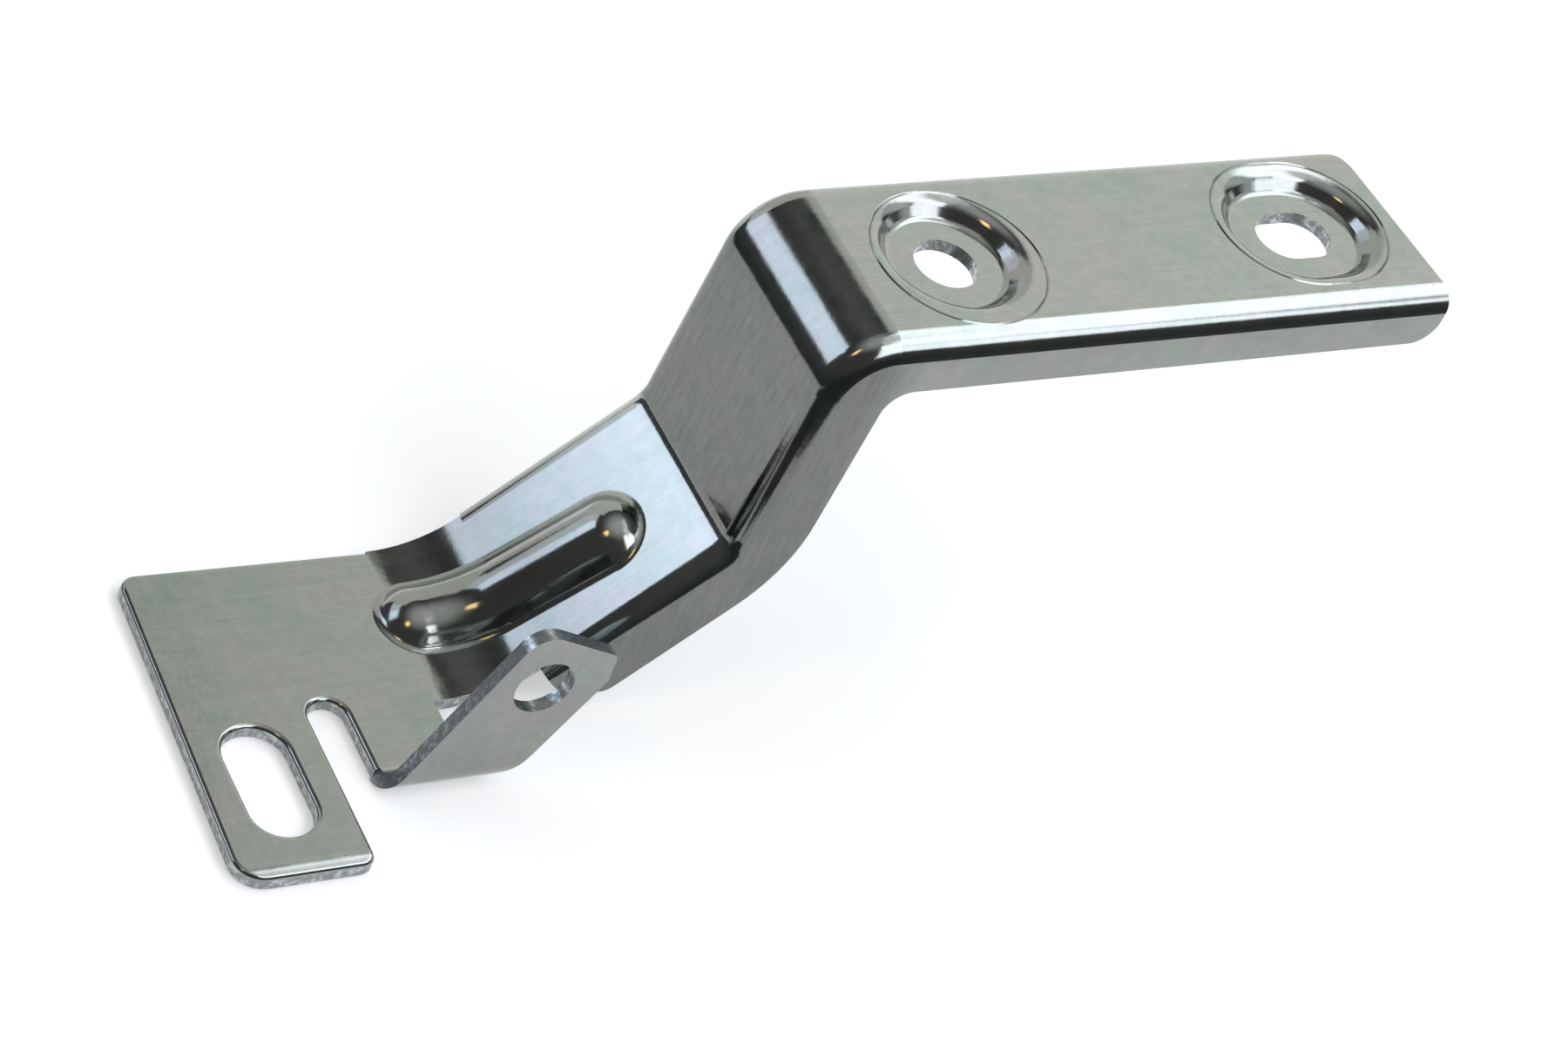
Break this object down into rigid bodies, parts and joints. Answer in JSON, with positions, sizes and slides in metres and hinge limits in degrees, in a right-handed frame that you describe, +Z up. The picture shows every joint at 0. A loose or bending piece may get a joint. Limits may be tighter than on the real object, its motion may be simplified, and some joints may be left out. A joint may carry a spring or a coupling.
{
  "type": "stamped metal bracket",
  "caption": "Bent sheet-steel bracket: slotted foot with a drilled ear, ribbed bend and a raised flanged channel with two dished screw holes.",
  "frame": {"origin": "centre of the round screw hole, on the upper face of its dish", "axes": "+X along the plateau away from the foot, +Y towards the side without the ear, +Z up, out of the dishes"},
  "size_m": [0.1342, 0.0407, 0.05],
  "materials": {
    "zinc_plated_steel": "satin"
  },
  "bodies": {
    "root": {"bracket": "zinc_plated_steel"}
  },
  "joints": []
}
